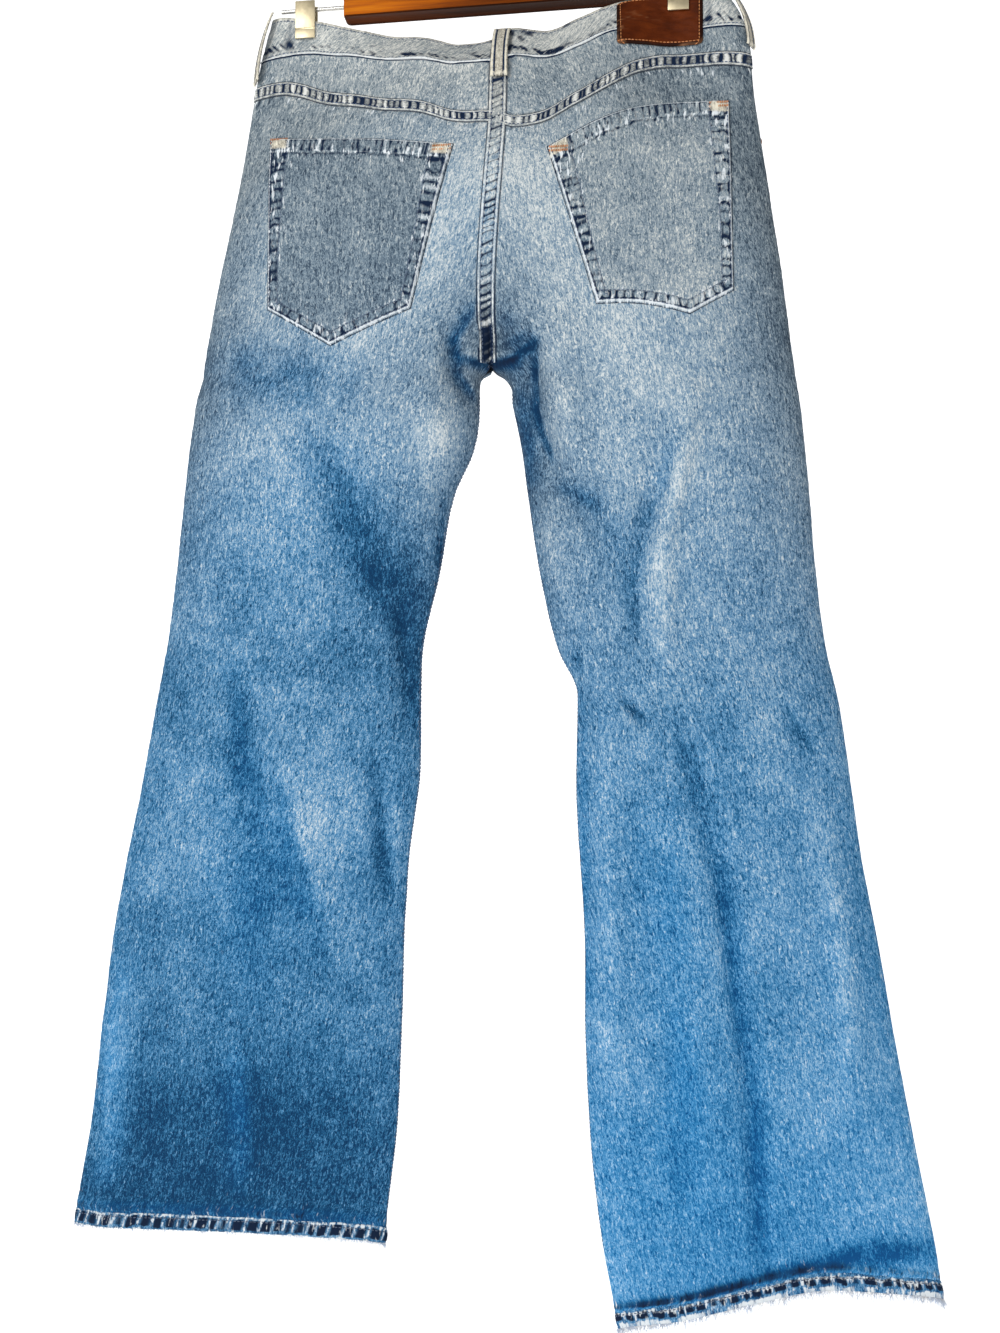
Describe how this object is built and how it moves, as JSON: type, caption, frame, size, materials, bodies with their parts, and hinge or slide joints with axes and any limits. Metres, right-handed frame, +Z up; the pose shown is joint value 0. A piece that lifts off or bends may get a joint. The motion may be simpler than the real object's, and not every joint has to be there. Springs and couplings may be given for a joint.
{
  "type": "bootcut jeans on a clip hanger",
  "caption": "Faded blue denim bootcut jeans, back view, hung by the waistband from a wooden bar hanger with two metal clips and a steel hook.",
  "frame": {"origin": "The seat of the hanger's hook: the top inside point of its arc, where a rail carries it. The clips then lie 100 mm below it and the hems about 1.15 m below it.", "axes": "+Z up. The back of the jeans faces -Y, and +X is to the right as the back is looked at, so it points to the wearer's right side."},
  "size_m": [0.71, 0.0915, 1.1859],
  "materials": {
    "denim": "stonewashed cotton twill",
    "denim_pale": "heavily faded cotton twill",
    "denim_dark": "roped hem of cotton twill",
    "leather": "worn and wrinkled",
    "wood": "clear varnish",
    "steel": "bright plated",
    "clip_metal": "satin plated",
    "copper": "aged"
  },
  "bodies": {
    "root": {"back_panel_left": "denim", "back_panel_right": "denim", "front_panel_left": "denim", "front_panel_right": "denim", "yoke_left": "denim_pale", "yoke_right": "denim_pale", "pocket_facing_left": "denim_pale", "pocket_facing_right": "denim_pale", "hem_left": "denim_dark", "hem_right": "denim_dark", "waistband": "denim_pale", "back_pocket_left": "denim_pale", "back_pocket_right": "denim_pale", "leather_patch": "leather", "belt_loop_centre_back": "denim_pale", "belt_loop_side_left": "denim_pale", "belt_loop_side_right": "denim_pale", "belt_loop_front_left": "denim_pale", "belt_loop_front_right": "denim_pale", "waist_button": "copper", "rivet_left_inner": "copper", "rivet_left_outer": "copper", "rivet_right_inner": "copper", "rivet_right_outer": "copper", "hanger_bar": "wood", "hanger_rod_left": "steel", "hanger_rod_right": "steel", "hanger_hook": "steel", "clip_jaw_back_left": "clip_metal", "clip_jaw_back_right": "clip_metal", "clip_jaw_front_left": "clip_metal", "clip_jaw_front_right": "clip_metal", "clip_saddle_left": "clip_metal", "clip_saddle_right": "clip_metal"}
  },
  "joints": []
}
